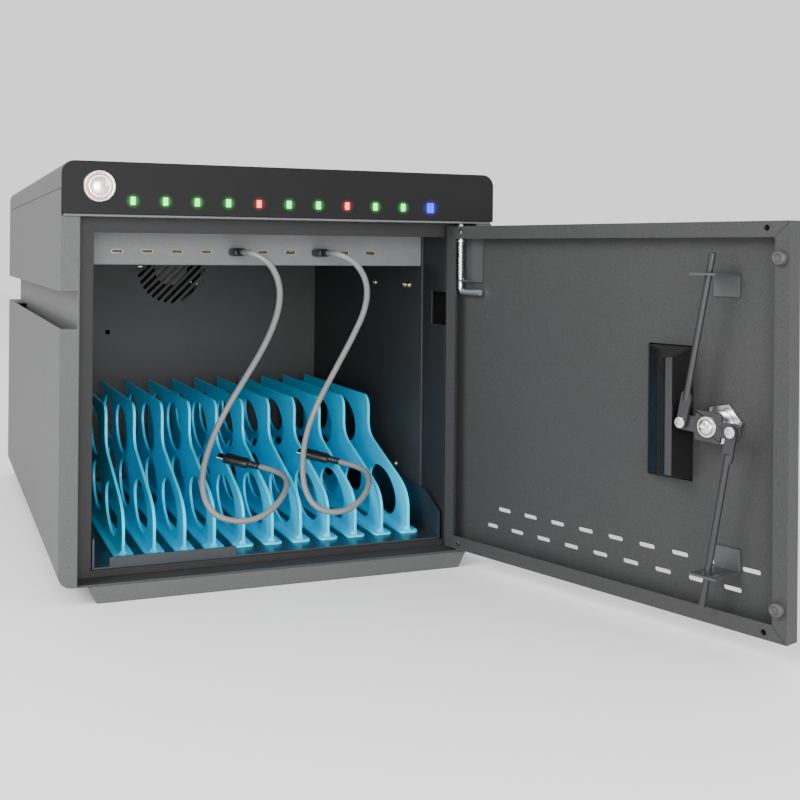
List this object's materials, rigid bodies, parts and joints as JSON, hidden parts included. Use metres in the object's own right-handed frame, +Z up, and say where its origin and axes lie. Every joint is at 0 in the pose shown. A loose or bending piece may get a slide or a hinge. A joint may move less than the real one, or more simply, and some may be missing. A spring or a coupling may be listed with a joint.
{
  "type": "laptop charging station",
  "caption": "Lockable sheet-metal cabinet that stores and charges laptops in upright slots, with a hinged front door, a row of ports and a status light bar.",
  "frame": {"origin": "centre of the base underside", "axes": "+Z up, the door at the front (-Y), +X to the right seen from the front"},
  "size_m": [0.4239, 0.8312, 0.326],
  "materials": {
    "case_paint": "fine powder coat, mid grey",
    "frame_paint": "fine powder coat, mid grey",
    "liner_paint": "satin dark grey paint",
    "panel_steel": "satin light grey paint",
    "tray_paint": "satin dark blue-grey paint",
    "bezel_plastic": "glossy dark grey moulding",
    "green_glow": "lit light pipe",
    "red_glow": "lit light pipe",
    "blue_glow": "lit light pipe",
    "board_green": "printed circuit board",
    "plated_steel": "bright zinc plate",
    "button_chrome": "polished",
    "button_face": "polished, slightly warm",
    "divider_plastic": "translucent blue moulding",
    "supply_steel": "plain zinc-coated sheet",
    "fan_plastic": "black moulding",
    "bumper_rubber": "soft rubber",
    "pull_plastic": "glossy black moulding",
    "lock_zinc": "plated die casting",
    "rod_steel": "black steel bar",
    "bracket_steel": "grey bent sheet",
    "spring_steel": "spring wire",
    "cable_jacket": "satin light grey jacket"
  },
  "bodies": {
    "cabinet": {"back_wall": "liner_paint", "base_pan": "frame_paint", "bezel": "bezel_plastic", "blue_light": "blue_glow", "board_posts": "plated_steel", "button_body": "button_chrome", "button_nut": "button_chrome", "cabinet_floor": "liner_paint", "ceiling": "liner_paint", "dividers_01": "divider_plastic", "dividers_03": "divider_plastic", "dividers_05": "divider_plastic", "dividers_07": "divider_plastic", "dividers_09": "divider_plastic", "dividers_11": "divider_plastic", "fan_frame": "fan_plastic", "front_frame": "frame_paint", "green_lights": "green_glow", "head_tray": "panel_steel", "lead_a_cable": "cable_jacket", "lead_a_plugs": "pull_plastic", "lead_a_shells": "plated_steel", "lead_b_cable": "cable_jacket", "lead_b_plugs": "pull_plastic", "lead_b_shells": "plated_steel", "left_liner": "liner_paint", "left_side": "case_paint", "liner_screws": "plated_steel", "lower_hinge_pin": "plated_steel", "mains_inlet": "bezel_plastic", "port_board": "board_green", "port_panel": "panel_steel", "port_sockets": "plated_steel", "power_supply": "supply_steel", "rear_panel": "case_paint", "red_lights": "red_glow", "right_jamb": "frame_paint", "right_liner": "liner_paint", "right_side": "case_paint", "status_board": "board_green", "top_cover": "case_paint", "tray": "tray_paint", "tray_supports": "liner_paint"},
    "button": {"button_cap": "button_face"},
    "fan_wheel": {"fan_rotor": "fan_plastic"},
    "door": {"door_panel": "case_paint", "door_bumpers": "bumper_rubber", "pull_cup": "pull_plastic", "lock_cylinder": "lock_zinc", "lock_nut": "lock_zinc", "rod_guides": "bracket_steel", "hinge_bracket": "bracket_steel", "hinge_spring": "spring_steel"},
    "door_pin": {"hinge_pin": "plated_steel"},
    "cam": {"lock_cam": "lock_zinc", "cam_screw": "lock_zinc", "rod_rivets": "lock_zinc"},
    "rod_up": {"upper_rod": "rod_steel"},
    "rod_down": {"lower_rod": "rod_steel"}
  },
  "joints": [
    {"name": "door_swing", "type": "hinge", "parent": "cabinet", "child": "door", "pos_m": [0.149, -0.2644, 0.1495], "axis": [0, 0, 1], "range_deg": [-108, 10]},
    {"name": "hinge_pin_pull", "type": "slide", "parent": "door", "child": "door_pin", "axis": [0, 0, -1], "range_m": [0, 0.012], "stiffness_N_per_m": 150, "springref_m": -0.01, "deforming": ["hinge_spring"]},
    {"name": "lock_turn", "type": "hinge", "parent": "door", "child": "cam", "pos_m": [0.21205, -0.51151, 0.148], "axis": [0.9511, 0.309, 0], "range_deg": [0, 90]},
    {"name": "upper_rod_pivot", "type": "hinge", "parent": "cam", "child": "rod_up", "pos_m": [0.20422, -0.49389, 0.149], "axis": [0.9511, 0.309, 0], "range_deg": [-101, 1]},
    {"name": "lower_rod_pivot", "type": "hinge", "parent": "cam", "child": "rod_down", "pos_m": [0.21607, -0.53036, 0.14699], "axis": [0.9511, 0.309, 0], "range_deg": [-101, 1]},
    {"name": "power_button_press", "type": "slide", "parent": "cabinet", "child": "button", "axis": [0, 1, 0], "range_m": [0, 0.002], "stiffness_N_per_m": 500, "springref_m": -0.0008},
    {"name": "fan_spin", "type": "hinge", "parent": "cabinet", "child": "fan_wheel", "pos_m": [-0.0215, 0.107, 0.241], "axis": [0, 1, 0], "continuous": true}
  ],
  "couplings": [
    {"joint": "upper_rod_pivot", "follows": "lock_turn", "ratio": -1.1133},
    {"joint": "lower_rod_pivot", "follows": "lock_turn", "ratio": -1.1133}
  ]
}
